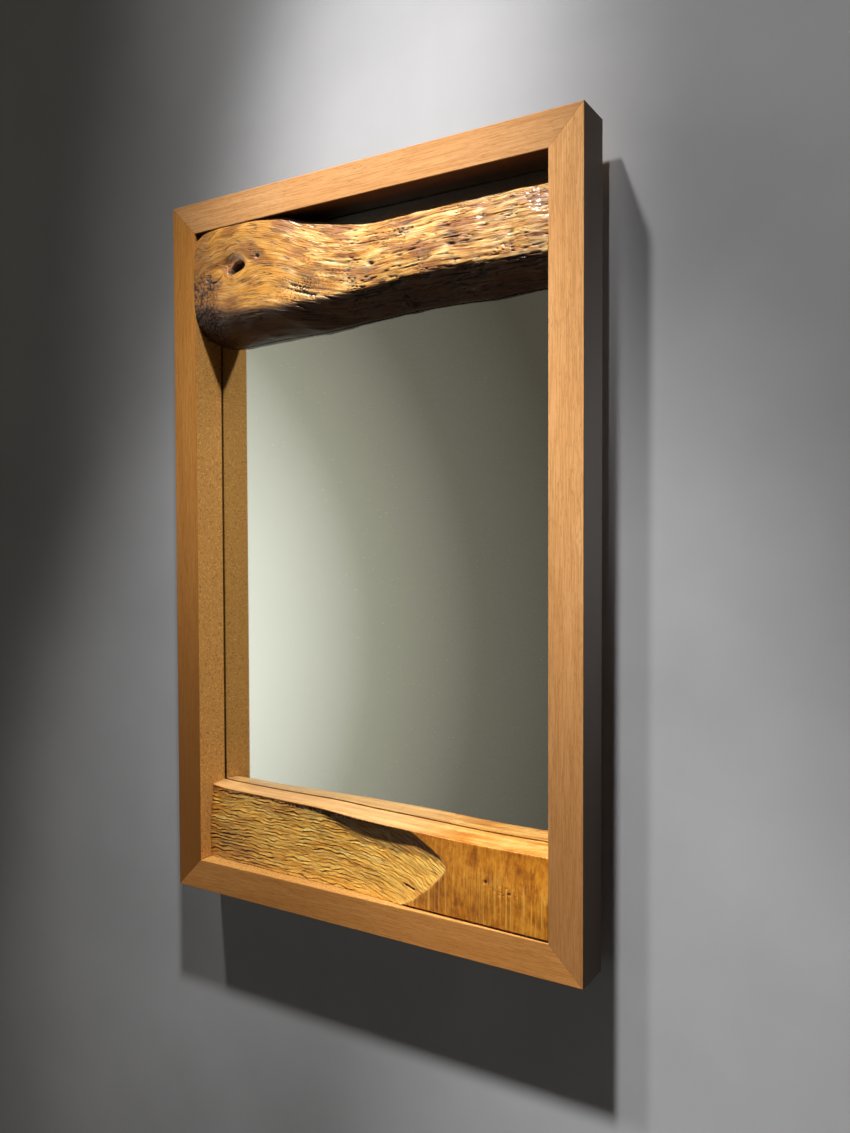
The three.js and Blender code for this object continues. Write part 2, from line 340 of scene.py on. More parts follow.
def planed_hardwood(name, along_z, offset, tone, foot_shade, inside):
    """Straight-grained honey hardwood: tone bands, fine grain and short dark flecks, along the member.

    The tone multiplies its colour, and so makes some members lighter and others darker as the light falls on
    them, which is painted light. The number after it is how much painted shade darkens the lower part, and
    inside is the colour of the rougher faces towards the recess: painted shade on the top rail, and
    elsewhere a gold with bright specks, lighter than the planed faces, which is partly painted light.
    """
    wood = Finish(name)
    turn = (0, math.radians(90), 0) if along_z else (0, 0, 0)
    at = wood.place(location=offset, rotation=turn)
    bands = wood.noise(wood.stretched(at, (1.6, 26, 26)), 3, 4, 0.6, 0.4)
    lines = wood.noise(wood.stretched(at, (9, 330, 330)), 3, 3, 0.6)
    pores = wood.noise(wood.stretched(at, (32, 300, 300)), 4, 2, 0.5)
    flecks = wood.between(pores, 0.56, 0.66)
    cloud = wood.noise(at, 9, 2)
    base = wood.ramp(
        bands,
        (0.25, (0.365, 0.170, 0.050)),
        (0.50, (0.420, 0.205, 0.066)),
        (0.75, (0.465, 0.238, 0.084)),
    )
    lined = wood.mix(wood.between(lines, 0.46, 0.57) * 0.5, base, (0.275, 0.112, 0.028))
    flecked = wood.mix(flecks * 0.38, lined, (0.21, 0.083, 0.024))
    tinted = wood.mix(wood.between(cloud, 0.4, 0.7) * 0.16, flecked, (0.43, 0.175, 0.050))
    up = wood.add("SeparateXYZ", {}, {"Vector": wood.place()}, output=2)
    # Painted shade: the lower part of the member is darkened, as its light falls off towards the bottom.
    foot = 1.0 - wood.between(up, middle.z - 330 * mm, middle.z + 120 * mm)
    toned = wood.mix(1.0, tinted, tone, "MULTIPLY")
    foot_shaded = wood.mix(foot * foot_shade, toned, (0.18, 0.062, 0.010))
    # Painted shade: the outer faces are painted near-black.
    dark_marked = wood.mix(wood.painted("outside") * 0.94, foot_shaded, (0.022, 0.011, 0.006))
    inner = wood.painted("rough_sawn")
    specks = wood.between(wood.noise(at, 520, 2, 0.8), 0.55, 0.66)
    # On the top rail the inside colour is painted shade. On the other members the gold and its bright specks
    # are lighter than the planed faces: partly the rough wood's colour, partly painted light.
    gold = wood.mix(0.85, tinted, inside)
    sawn = wood.mix(specks * 0.75, gold, tuple(min(1.9 * part, 1) for part in inside))
    pits = wood.between(wood.noise(at, 330, 3, 0.7), 0.54, 0.66)
    pitted = wood.mix(pits * 0.6, sawn, tuple(0.3 * part for part in inside))
    colour = wood.mix(inner, dark_marked, pitted)
    height = lines * 0.25 + pores * 0.35 + inner * specks * 1.6
    normal = wood.bump(height, 0.25 * mm, 0.5)
    gloss = 0.50 - wood.between(lines, 0.3, 0.7) * 0.08 + inner * 0.02
    return wood.surface(Base_Color=colour, Roughness=gloss, Normal=normal, Specular_IOR_Level=0.1)


def frame_member(name, node, turn, reach, outer, finish):
    """Extrudes the rebated section along X, eases its long edges, mitres its ends and turns it."""
    front = stile_low.y
    back = stile_high.y
    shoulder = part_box("mirror_glass")[0].y - 0.2 * mm
    face = stile_high.x - stile_low.x
    rebate = 10 * mm
    inner = -outer + face
    section = [
        (front, -outer),
        (front, inner),
        (shoulder, inner),
        (shoulder, inner - rebate),
        (back, inner - rebate),
        (back, -outer),
    ]
    bm = bmesh.new()
    end = bm.faces.new([bm.verts.new((-reach, y, z)) for y, z in section])
    bar = bmesh.ops.extrude_face_region(bm, geom=[end])
    moved = [v for v in bar["geom"] if isinstance(v, bmesh.types.BMVert)]
    bmesh.ops.translate(bm, verts=moved, vec=(2 * reach, 0, 0))
    bmesh.ops.recalc_face_normals(bm, faces=bm.faces)
    arrises = [e for e in bm.edges if abs(e.verts[0].co.x - e.verts[1].co.x) > reach]
    ease_edges(bm, arrises, 0.9 * mm, segments=3)
    glue_line = 0.18 * mm
    for side in (-1, 1):
        corner = (side * (reach - glue_line), 0, -outer)
        across = Vector((side, 0, 1))
        everything = bm.verts[:] + bm.edges[:] + bm.faces[:]
        mitre = {"plane_co": corner, "plane_no": across, "clear_outer": True}
        cut = bmesh.ops.bisect_plane(bm, geom=everything, **mitre)
        rim = [e for e in cut["geom_cut"] if isinstance(e, bmesh.types.BMEdge)]
        bmesh.ops.holes_fill(bm, edges=rim, sides=len(rim))
    bmesh.ops.recalc_face_normals(bm, faces=bm.faces)
    rough = bm.verts.layers.float.new("rough_sawn")
    outside = bm.verts.layers.float.new("outside")
    for vert in bm.verts:
        vert[outside] = float(vert.co.z < 0.4 * mm - outer)
        vert[rough] = float(vert.co.z > inner - 0.3 * mm and vert.co.y > front + 0.8 * mm)
    bmesh.ops.rotate(bm, verts=bm.verts, cent=(0, 0, 0), matrix=Matrix.Rotation(math.radians(turn), 3, "Y"))
    bmesh.ops.translate(bm, verts=bm.verts, vec=(0, 0, middle.z))
    return keep(bm, name, finish, replaces=(node,))


half_width = -stile_low.x
half_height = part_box("top_rail")[1].z - middle.z
# golden, for the faces towards the recess, is partly painted light; shaded, the top rail's, is painted
# shade.
golden = (0.74, 0.36, 0.095)
shaded = (0.085, 0.028, 0.010)
# Painted light: each member's tone, the fourth argument, makes it lighter or darker as the light falls on
# it.
bottom_finish = planed_hardwood("bottom_hardwood", False, (0.31, 0.07, 0.2), (1.36, 1.25, 1.06), 0.1, golden)
top_finish = planed_hardwood("top_hardwood", False, (1.73, 0.02, 0.6), (1.36, 1.44, 1.75), 0, shaded)
left_finish = planed_hardwood("left_hardwood", True, (2.9, 0.05, 1.1), (1.20, 1.06, 0.70), 0.82, golden)
right_finish = planed_hardwood("right_hardwood", True, (4.2, 0.09, 1.9), (1.75, 1.86, 2.2), 0.62, golden)
frame_member("frame_bottom_rail", "bottom_rail", 0, half_width, half_height, bottom_finish)
frame_member("frame_top_rail", "top_rail", 180, half_width, half_height, top_finish)
frame_member("frame_left_stile", "left_stile", 90, half_height, half_width, left_finish)
frame_member("frame_right_stile", "right_stile", -90, half_height, half_width, right_finish)

# ----------------------------------------------------------------------------------------------------
# Glass: thin float glass, silvered on its back and bonded to a stiff carrier. It is centred in the rebate
# by cork strips.
glass_low, glass_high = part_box("mirror_glass")


def clear_glass():
    glass = Finish("float_glass")
    dust = glass.noise(glass.place(), 700, 2, 0.5)
    veil = glass.between(dust, 0.72, 0.76) * 0.3
    return glass.surface(
        Base_Color=(0.975, 0.988, 0.980),
        Roughness=veil,
        IOR=1.52,
        Transmission_Weight=1.0,
        Specular_IOR_Level=0.5,
    )


def silvering():
    silver = Finish("silvering")
    tone = silver.noise(silver.place(), 6, 2)
    colour = silver.ramp(tone, (0.3, (0.84, 0.85, 0.82)), (0.7, (0.87, 0.875, 0.85)))
    return silver.surface(Base_Color=colour, Metallic=1.0, Roughness=0.0)


def slab(low, high, ease):
    """A block between two corners with eased edges."""
    bm = bmesh.new()
    bmesh.ops.create_cube(bm, size=1)
    bmesh.ops.scale(bm, verts=bm.verts, vec=high - low)
    bmesh.ops.translate(bm, verts=bm.verts, vec=(low + high) / 2)
    ease_edges(bm, bm.edges, ease)
    return bm


clear_depth = 1.85 * mm  # of glass in front of the silver
film = 0.05 * mm
silver_y = glass_low.y + clear_depth
sheet_back = Vector((glass_high.x, silver_y - film, glass_high.z))
silver_front = Vector((glass_low.x, silver_y, glass_low.z))
glass_sheet = slab(glass_low, sheet_back, 0.25 * mm)
silver_coat = slab(silver_front, glass_high, film)
keep(glass_sheet, "glass_sheet", clear_glass(), replaces=("mirror_glass",))
keep(silver_coat, "silver_coat", silvering(), replaces=("mirror_glass",))


def dress(node, material):
    """Gives a carried-over part its finish."""
    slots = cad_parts[node].data.materials
    slots.clear()
    slots.append(material)


def cork():
    strip = Finish("cork")
    at = strip.place()
    grains = strip.noise(at, 900, 3, 0.6)
    colour = strip.ramp(grains, (0.35, (0.10, 0.055, 0.030)), (0.65, (0.28, 0.17, 0.095)))
    return strip.surface(Base_Color=colour, Roughness=0.9, Normal=strip.bump(grains, 0.2 * mm))


cork_finish = cork()
for edge in ("top", "bottom", "left", "right"):
    dress(edge + "_packing_strip", cork_finish)

# ----------------------------------------------------------------------------------------------------
# Branch: weathered, brushed and gloss-varnished, thick at its left end and sawn flat where it lies on the
# glass. It has a knot hole and a burr near the left end, and drying cracks along its front ridge. Two
# dowels hold each end.
branch_low, branch_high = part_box("top_branch")
recess_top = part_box("top_rail")[0].z
flat_depth = (branch_high.y - middle.y) / mm

# Each row: along X, top, depth of the top's shoulder, level of the front ridge, its depth, level of the
# underside. Levels are below the top rail and depths behind the frame's front, in millimetres.
BRANCH = [
    (-216, 4.0, 7, 79, -2.4, 119),
    (-203, 1.4, 3, 83, -2.8, 123),
    (-185, 0.7, 2, 87, -2.8, 124.5),
    (-150, 0.6, 2, 90, -2.4, 123),
    (-118, 0.8, 3, 93, -1.2, 121.5),
    (-90, 3.8, 7, 94, -0.3, 121.5),
    (-65, 9.5, 12, 95, 0.2, 121),
    (-37, 15.0, 17, 95.5, 0.3, 119.5),
    (-11, 20.0, 20, 94, 0.3, 117.5),
    (13, 22.2, 22, 93, 0.3, 116),
    (60, 21.4, 23, 89.5, 0.5, 113),
    (104, 20.5, 24, 86.5, 0.7, 112.5),
    (144, 20.0, 24, 87.5, 0.6, 113),
    (180, 19.8, 24, 88.5, 0.4, 111),
    (216, 20.2, 24, 89.5, 0.4, 110.5),
]


def at_station(rows, x):
    """The sizes at x, on smooth curves through the rows."""
    last = len(rows) - 2
    here = next((i for i in range(last) if x < rows[i + 1][0]), last)
    before, start, end = rows[max(here - 1, 0)], rows[here], rows[here + 1]
    after = rows[min(here + 2, last + 1)]
    step = end[0] - start[0]
    t = (x - start[0]) / step
    sizes = []
    for p, a, b, q in zip(before[1:], start[1:], end[1:], after[1:]):
        slope_a = (b - p) / (end[0] - before[0]) * step
        slope_b = (q - a) / (after[0] - start[0]) * step
        ease = t * t * (3 - 2 * t)
        sizes.append(a + (b - a) * ease + slope_a * t * (1 - t) ** 2 - slope_b * t * t * (1 - t))
    return sizes


def ripple(x, y, z=0.0):
    """A smooth unevenness round 0. Each use has a z of its own, which is only its seed."""
    return noise.noise(Vector((x, y, z)))


def fade(value, low, high):
    """0 below low, 1 above high, smooth between."""
    t = min(max((value - low) / (high - low), 0), 1)
    return t * t * (3 - 2 * t)


def line(value, width):
    """1 where the value is 0, falling to 0 at the width."""
    return max(1 - abs(value) / width, 0)


def spot(x, y, width, height):
    """A soft round mark, 1 in its middle."""
    return math.exp(-((x / width) ** 2) - (y / height) ** 2)


def along_rings(stations, ring_at, painted):
    """A solid with flat ends. At each station its section is a ring of (y, z, then painted numbers)."""
    rings = [ring_at(x) for x in stations]
    around = len(rings[0])
    bm = bmesh.new()
    bmesh.ops.create_cone(bm, cap_ends=True, segments=around, radius1=1, radius2=1, depth=1)
    long_edges = [e for e in bm.edges if abs(e.verts[0].co.z - e.verts[1].co.z) > 0.5]
    bmesh.ops.subdivide_edges(bm, edges=long_edges, cuts=len(stations) - 2, use_grid_fill=True)
    layers = [bm.verts.layers.float.new(name) for name in painted]
    for vert in bm.verts:
        station = round((vert.co.z + 0.5) * (len(stations) - 1))
        turn = round(math.atan2(vert.co.x, vert.co.y) / math.tau * around) % around
        y, z, *numbers = rings[station][turn]
        vert.co = (stations[station] * mm, y, z)
        for layer, number in zip(layers, numbers):
            vert[layer] = number
    bmesh.ops.recalc_face_normals(bm, faces=bm.faces)
    return bm


def steps(low, high, count):
    return [low + (high - low) * i / count for i in range(count)]


# Marks, in millimetres along X and below the top rail; a pit also has its half length and half height.
KNOT = (-155, 45)
CRESCENT = (-185, 53)
PITS = ((-123.5, 39.5, 3.2, 2.2), (116, 66, 5.5, 2.2), (24, 70, 4, 1.8))


def branch_grain(x, level, arc):
    """Where a place lies along and across the fibres, which part and flow round the knot."""
    dx, dz = x - KNOT[0], level - KNOT[1]
    girth = 15**2 / (dx * dx + dz * dz + 60)
    swirl = 3.4 * ripple(x / 62, arc / 24, 4)
    end_swirl = fade(-x, 150, 200) * 9 * ripple(x / 17, arc / 19, 5)
    along = x + dx * girth
    across = arc + swirl + end_swirl - dz * girth
    return along, across


def branch_relief(x, level, arc):
    """How far the surface is sunk, how dark its cracks and holes are painted (painted shade, with dark grain
    lines), how stained (with painted shade round the knot), and its place in the grain.

    x, level and arc are millimetres along the branch, below the rail and round the branch. The marks are
    numbers from 0 to 1, which sunk adds up as depths in millimetres.
    """
    along, across = branch_grain(x, level, arc)
    knot_x, knot_z = x - KNOT[0], level - KNOT[1]
    smooth_end = 1 - fade(x, -110, -20)
    ridge_band = fade(arc, 48, 74) * (1 - fade(arc, 108, 118)) * (0.25 + 0.75 * fade(x, -120, -50))
    lump = 1.7 * ripple(x / 58, arc / 34, 1) + 0.7 * ripple(x / 21, arc / 15, 2)
    wave = ripple(along / 38, across / 2.7, 11)
    fine = ripple(along / 20, across / 1.3, 12)
    dashes = fade(ripple(x / 24, arc / 6, 14), -0.22, 0.2)
    thread = line(ripple(along / 30, across / 1.9, 13), 0.30) * dashes * (1 - 0.7 * smooth_end)
    where = fade(ripple(x / 50, arc / 12, 23), -0.28, 0.18)
    where_short = fade(ripple(x / 22, arc / 8, 24), -0.1, 0.26)
    long_crack = line(ripple(along / 60, across / 3.6, 21), 0.10) * where
    short_crack = line(ripple(along / 30, across / 2.4, 22), 0.10) * where_short
    busy = 0.12 + 0.46 * (1 - smooth_end) + 0.80 * ridge_band
    crack = min(1, (long_crack + 0.7 * short_crack) * busy)
    split_at = 79 + 2.6 * ripple(x / 28, 0, 31)
    split = line(arc - split_at, 1.5) * fade(ripple(x / 17, 3, 32), -0.12, 0.1) * fade(x, -90, -30)
    second_at = 66 + 2.2 * ripple(x / 33, 5, 33)
    second = line(arc - second_at, 1.2) * fade(ripple(x / 14, 9, 34), -0.08, 0.15) * fade(x, 0, 80)
    crack = max(crack, split, second)
    uneven = 1 + 0.35 * ripple(x / 7, level / 7, 25)
    from_hole = math.hypot((knot_x - 2) / 13, (knot_z - 2 + 0.15 * knot_x) / 6.8)
    hole = 1 - fade(from_hole * uneven, 0.62, 1.02)
    bowl = spot(knot_x + 8, knot_z + 4.5 + 0.10 * knot_x, 16, 6.5) + 0.6 * spot(knot_x, knot_z, 20, 11)
    pits = sum(spot(x - pit_x, level - pit_level, long, high) for pit_x, pit_level, long, high in PITS)
    bend = CRESCENT[1] + 7 * (1 - ((x - CRESCENT[0]) / 13) ** 2)
    smile = line(level - bend, 1.7) * (1 - fade(abs(x - CRESCENT[0]), 11, 14))
    rim = spot(math.hypot(knot_x - 3, 1.2 * knot_z - 3) - 16, 0, 4, 1) * fade(knot_x + knot_z, -6, 14)
    sunk = 1.7 * crack + 8 * hole + 2.6 * bowl + 2.6 * pits + 1.3 * smile - 0.8 * rim - lump + 0.42 * thread
    sunk -= (0.34 * wave + 0.17 * fine) * (1.05 - 0.55 * smooth_end + 0.35 * ridge_band)
    # Painted shade: gap paints the cracks, the knot hole, the pits and the burr's crackle near-black; it
    # also holds the dark grain threads and the crescent.
    gap = max(crack, 0.95 * hole, min(0.8 * pits, 1), 0.8 * smile, 0.42 * thread)
    stain = fade(ripple(x / 36, arc / 15, 41) + 0.3 * ripple(along / 12, across / 3, 42), -0.05, 0.42)
    burr = fade(-x + 5 * ripple(x / 9, level / 9, 43), 160, 192) * fade(level, 30, 62)
    # The knot's bowl is painted dark too: painted shade in the hollow, beside real stains at the left end
    # and on the burr.
    stain = max(stain, min(bowl, 1), 0.8 * fade(-x, 180, 206), burr)
    crackle = burr * line(ripple(x / 5, level / 4, 44), 0.32)
    return sunk + 0.9 * crackle, max(gap, 0.75 * crackle), stain, along, across


def branch_section(x):
    """The smooth section before its weathering: depth and level, round top, front, underside and flat."""
    top, shoulder, ridge, proud, bottom = at_station(BRANCH, x)
    places = [(flat_depth + (shoulder - flat_depth) * t, top + 2 * (1 - t) ** 2) for t in steps(0, 1, 20)]
    for t in steps(0, math.pi / 2, 110):
        bulge = shoulder - (shoulder - proud) * math.sin(t) ** 0.86
        places.append((bulge, ridge - (ridge - top) * math.cos(t) ** 0.95))
    nose = 1 + 0.4 * fade(x, -110, 0)
    for t in steps(0, math.pi / 2, 66):
        tuck = flat_depth - (flat_depth - proud) * math.cos(t) ** nose
        places.append((tuck, ridge + (bottom - ridge) * math.sin(t) ** nose))
    places += [(flat_depth, bottom + (top + 2 - bottom) * t) for t in steps(0, 1, 6)]
    return places


def branch_ring(x):
    """The weathered section: each place is pushed in square to the smooth one, less near the glass."""
    places = branch_section(x)
    ring = []
    arc = 0.0
    for i, (depth, level) in enumerate(places):
        before, after = places[i - 1], places[(i + 1) % len(places)]
        run, fall = after[0] - before[0], after[1] - before[1]
        length = math.hypot(run, fall)
        if i > 0:
            arc += math.hypot(depth - before[0], level - before[1])
        sunk, gap, stain, along, across = branch_relief(x, level, arc - 30)
        held = fade(i, 2, 14) * (1 - fade(i, len(places) - 20, len(places) - 7))
        depth = min(max(depth + sunk * held * fall / length, -2.95), flat_depth)
        level = max(level - sunk * held * run / length, 0.6)
        # under marks the underside, which the finish paints near-black: painted shade.
        under = fade(i, 126, 140)
        painted = (gap * held, stain, along * mm, across * mm, under)
        ring.append((middle.y + depth * mm, recess_top - level * mm, *painted))
    return ring


def grain_space(wood, along, across):
    """The place along and across the fibres, each divided by a pattern's own length in metres."""
    run, cross = wood.painted("along") / along, wood.painted("across") / across
    return wood.add("CombineXYZ", {}, {"X": run, "Y": cross, "Z": 0.0})


def branch_varnish():
    """Brushed orange-brown timber under gloss varnish, with painted shade in its cracks, holes and pits and
    near-black painted shade on its underside.
    """
    wood = Finish("branch_wood")
    at = wood.place()
    bands = wood.noise(grain_space(wood, 0.050, 0.0060), 1, 3, 0.6, 0.3)
    threads = wood.noise(grain_space(wood, 0.024, 0.0011), 1, 2, 0.6, 0.1)
    hairs = wood.noise(grain_space(wood, 0.012, 0.0005), 1, 2, 0.6)
    fibres = wood.noise(grain_space(wood, 0.040, 0.0021), 1, 1, 0.5, 0.1)
    dashes = wood.noise(grain_space(wood, 0.015, 0.0045), 1, 2, 0.5)
    checks = (1.0 - wood.between(abs(fibres - 0.5), 0.0, 0.05)) * wood.between(dashes, 0.44, 0.58)
    blotches = wood.noise(at, 55, 4, 0.6)
    base = wood.ramp(
        bands * 0.8 + blotches * 0.2,
        (0.36, (0.26, 0.086, 0.012)),
        (0.46, (0.50, 0.215, 0.030)),
        (0.55, (0.69, 0.400, 0.110)),
        (0.66, (0.86, 0.640, 0.350)),
    )
    along_it = wood.add("SeparateXYZ", {}, {"Vector": at}, output=0)
    smooth_end = 1.0 - wood.between(along_it, -115 * mm, -20 * mm)
    calm = wood.mix(smooth_end * 0.68, base, (0.62, 0.275, 0.038))
    # Stains darken the wood, and so does painted shade in the knot's bowl.
    dark_marked = wood.mix(wood.painted("stain") * 0.72, calm, (0.24, 0.074, 0.012))
    threaded = wood.mix(wood.between(threads, 0.50, 0.68) * 0.55, dark_marked, (0.13, 0.046, 0.010))
    haired = wood.mix(wood.between(hairs, 0.52, 0.70) * 0.30, threaded, (0.15, 0.058, 0.014))
    checked = wood.mix(checks * 0.75, haired, (0.055, 0.018, 0.005))
    # Painted shade: the underside is painted near-black.
    shaded_under = wood.mix(wood.painted("under") * 0.9, checked, (0.040, 0.008, 0.002))
    gap = wood.painted("gap")
    # Painted shade: the cracks, the knot hole and the pits are painted near-black.
    colour = wood.mix(wood.between(gap, 0.14, 0.66) * 0.95, shaded_under, (0.020, 0.008, 0.004))
    height = bands * 0.3 + (1.0 - threads) * 0.6 + (1.0 - hairs) * 0.25 + (1.0 - checks) * 0.7
    return wood.surface(
        Base_Color=colour,
        Roughness=0.42 + gap * 0.3,
        Normal=wood.bump(height, 0.8 * mm, 0.9),
        Coat_Weight=0.65 - gap * 0.5 - wood.painted("under") * 0.5,
        Coat_Roughness=0.14,
    )


# Of these, gap and the stain number also carry painted shade, in cracks, hollows and under edges.
PAINTED = ("gap", "stain", "along", "across")  # numbers that both the branch and the offcut carry
branch_stations = [*steps(branch_low.x / mm, branch_high.x / mm, 445), branch_high.x / mm]
branch = along_rings(branch_stations, branch_ring, (*PAINTED, "under"))
keep(
    branch,
    "weathered_branch",
    branch_varnish(),
    replaces=("top_branch",),
    smooth_under=70,
    planed=False,
)

# ----------------------------------------------------------------------------------------------------
# Offcut: the end of an old beam, screwed up through the bottom rail, with a planed and varnished top. Its
# front is sawn at the right. At the left it is the beam's old outside, hollow and ridged by weather, which
# runs under the top's edge.
offcut_low, offcut_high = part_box("bottom_offcut")
recess_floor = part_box("bottom_rail")[1].z
offcut_flat = (offcut_high.y - middle.y) / mm
foot_gap = 0.6

# Each row: along X, height at the glass, depth of the top's front edge, then the depth of the weathered
# face under that edge, half-way down and at its foot, in millimetres behind the frame's front.
OFFCUT = [
    (-216, 84.7, 20.5, 21.0, 17, 16.8),
    (-190, 83.8, 17.5, 17.9, 16.5, 16.2),
    (-150, 83.2, 17.5, 18.0, 17, 15.4),
    (-100, 83.0, 15, 16.5, 16.5, 14.4),
    (-50, 83.0, 12, 15.2, 16, 13.4),
    (-5, 81.4, 7.5, 15.5, 15, 12.4),
    (30, 80.5, 5.5, 16.5, 13.5, 11.6),
    (60, 79.8, 5.0, 16, 12.5, 10.6),
    (107, 78.3, 5.0, 13, 10, 9),
    (144, 77.7, 5.0, 13, 10, 9),
    (216, 78.2, 4.5, 13, 10, 9),
]
TIP = (107, 49)  # where the weathered hollow runs out on the sawn face: along X, and above the bottom rail


def offcut_front(x, up, height, edge, under, half, foot):
    """The front face at a place on it: its depth, its painted numbers and its place in the grain.

    x and up are millimetres along the offcut and above the bottom rail. The other sizes are the station's.
    The marks are numbers from 0 to 1. The weathered wood stands proud by their sum, in millimetres.
    """
    rise = up / height
    old = foot + (half - foot) * fade(rise, 0, 0.5) + (under - half) * fade(rise, 0.5, 0.95)
    sawn = 3.4 - 0.030 * (x - 110)
    sawn += (edge - sawn) * fade(rise, 0.4, 1)
    if up > TIP[1]:
        rim = TIP[0] - 48 * ((up - TIP[1]) / 31) ** 1.4
        step = 9 * fade(up, TIP[1] + 1, TIP[1] + 20)
    else:
        rim = TIP[0] - 49 * ((TIP[1] - up) / 47) ** 1.5
        step = 0
    inside = rim - x + 1.6 * ripple(x / 9, up / 9, 51)
    rounded = 1 - math.exp(-max(inside, 0) / 26)
    sheer = min(step, max(old - sawn, 0))
    hollow = sawn + sheer * fade(inside, 0, 2.6) + max(old - sawn - sheer, 0) * rounded
    weathered = fade(inside, -1.0, 3.0)
    lean = 35.2 * max((x + 60) / 160, 0) ** 2.5
    fibre = up + lean + 1.9 * ripple(x / 34, up / 15, 52) + 0.8 * ripple(x / 11, up / 7, 53)
    phase = fibre / 3.9 + 0.62 * ripple(x / 15, up / 5, 54)
    shingle = (1 - phase % 1.0) ** 1.3
    # The dark zone is darker wood at the lower left, and painted shade in the hollow under the top's edge.
    dark_zone = max(fade(-x - 1.1 * up, 70, 190), 0.8 * fade(up - height, -20, -6) * fade(-x, -110, 0))
    strength = 0.15 + 0.95 * fade(ripple(x / 17, fibre / 5.5, 55), -0.30, 0.32)
    strength *= (1 - 0.40 * fade(x, -40, 60)) * (1 + 0.5 * dark_zone)
    bumps = 0.6 * ripple(x / 8, fibre / 2.0, 56) + 0.3 * ripple(x / 4, fibre / 1.2, 57)
    swell = 1.2 * ripple(x / 45, up / 24, 58)
    slit = (1 - fade(abs(up - 19.5 + 0.22 * (x - 62)), 0.8, 1.5)) * (1 - fade(abs(x - 62), 5, 8))
    # Painted shade under the top's edge: it reaches down to this ragged line.
    lip_shade_foot = TIP[1] + 28 * fade(-x, -10, 76) + 3 * ripple(x / 5, 3, 70)
    under_lip = fade(up, lip_shade_foot, lip_shade_foot + 4) * fade(inside, 0.5, 2.5)
    # Painted shade: the grooves between the ridges, the slit and the hollow under the edge are painted dark.
    between_ridges = strength * (1 - fade(shingle, 0.02, 0.30)) * (0.62 + 0.38 * dark_zone)
    groove = weathered * max(between_ridges, slit, 0.52 * under_lip)
    # The notches under the edge are sunk and painted dark: painted shade.
    notched = fade(up - height, -11, -5) * abs(ripple(x / 5, up / 9, 69)) * fade(-x, -60, 20)
    groove = max(groove, weathered * min(2.2 * notched, 0.9) * fade(x, -150, -60))
    proud = 1.15 * strength * (shingle - 0.5) + 0.55 * bumps + swell - 3 * slit - 2.2 * notched
    depth = hollow - weathered * proud
    saw_marks = 0.10 * ripple(x / 2.2, up / 60, 61) + 0.25 * ripple(x / 40, up / 30, 62)
    worm_hole = spot(x - 151, up - 43, 1.6, 1.6)
    chips = fade(ripple(x / 3.5, up / 2.5, 63), 0.15, 0.45) * spot(x - 172, up - 37, 13, 5)
    # The front's foot tucks in under a dark line along the rail: painted shade between the parts.
    tucked = (1 - weathered) * (1 - fade(up + 0.4 * ripple(x / 2.5, 5, 68), 1.0, 2.4))
    depth += (1 - weathered) * (saw_marks + 1.6 * worm_hole + 0.9 * chips) + 2.4 * tucked
    lip_reach = 2.2 + 1.2 * ripple(x / 13, 7, 64) + 0.9 * fade(-x, 60, 200)
    lip = fade(up, height - 2.0 - lip_reach, height - 1.2 - 0.45 * lip_reach)
    lip *= weathered
    depth += (edge + 0.3 - depth) * lip
    # The worm hole and the chips are painted dark: painted shade in them.
    groove = max(groove * (1 - lip), 0.9 * worm_hole, 0.6 * chips, tucked)
    # The stain number holds random stains and the dark zone, so painted shade under the edge as well.
    stain = fade(ripple(x / 30, up / 12, 66), -0.1, 0.4) * 0.35 + 0.9 * dark_zone
    return depth, up, groove, min(stain, 1), x, fibre, weathered * (1 - lip), 0.0


def offcut_ring(x):
    """The section: up the front, over the eased edge, back along the top, down the glass and home."""
    sizes = at_station(OFFCUT, x)
    height, edge = sizes[:2]
    ease = 0.8
    front_height = height - 1.6 + 0.45 * ripple(x / 1.7, 3, 67)
    ring = [offcut_front(x, up, *sizes) for up in steps(foot_gap, front_height - ease, 122)]
    for turn in steps(0, math.pi / 2, 7):
        depth = edge + ease * (1 - math.cos(turn))
        up = front_height - ease * (1 - math.sin(turn))
        ring.append((depth, up, 0.0, 0.0, x, 100 + depth, 0.0, turn / 1.6))
    for t in steps(0, 1, 22):
        depth = edge + ease + (offcut_flat - edge - ease) * t
        up = front_height + 1.6 * t**0.7 + 0.35 * ripple(x / 50, 2 * t, 65) * math.sin(math.pi * t)
        ring.append((depth, up, 0.0, 0.0, x, 100 + depth, 0.0, 1.0))
    plain = (0.0, 0.0, x, 200.0, 0.0, 0.0)
    first = ring[0][0]
    ring += [(offcut_flat, height + (foot_gap - height) * t, *plain) for t in steps(0, 1, 8)]
    ring += [(offcut_flat + (first - offcut_flat) * t, foot_gap, *plain) for t in steps(0, 1, 8)]
    front = middle.y
    return [
        (front + max(depth, 0.2) * mm, recess_floor + up * mm, gap, stain, along * mm, across * mm, *kinds)
        for depth, up, gap, stain, along, across, *kinds in ring
    ]


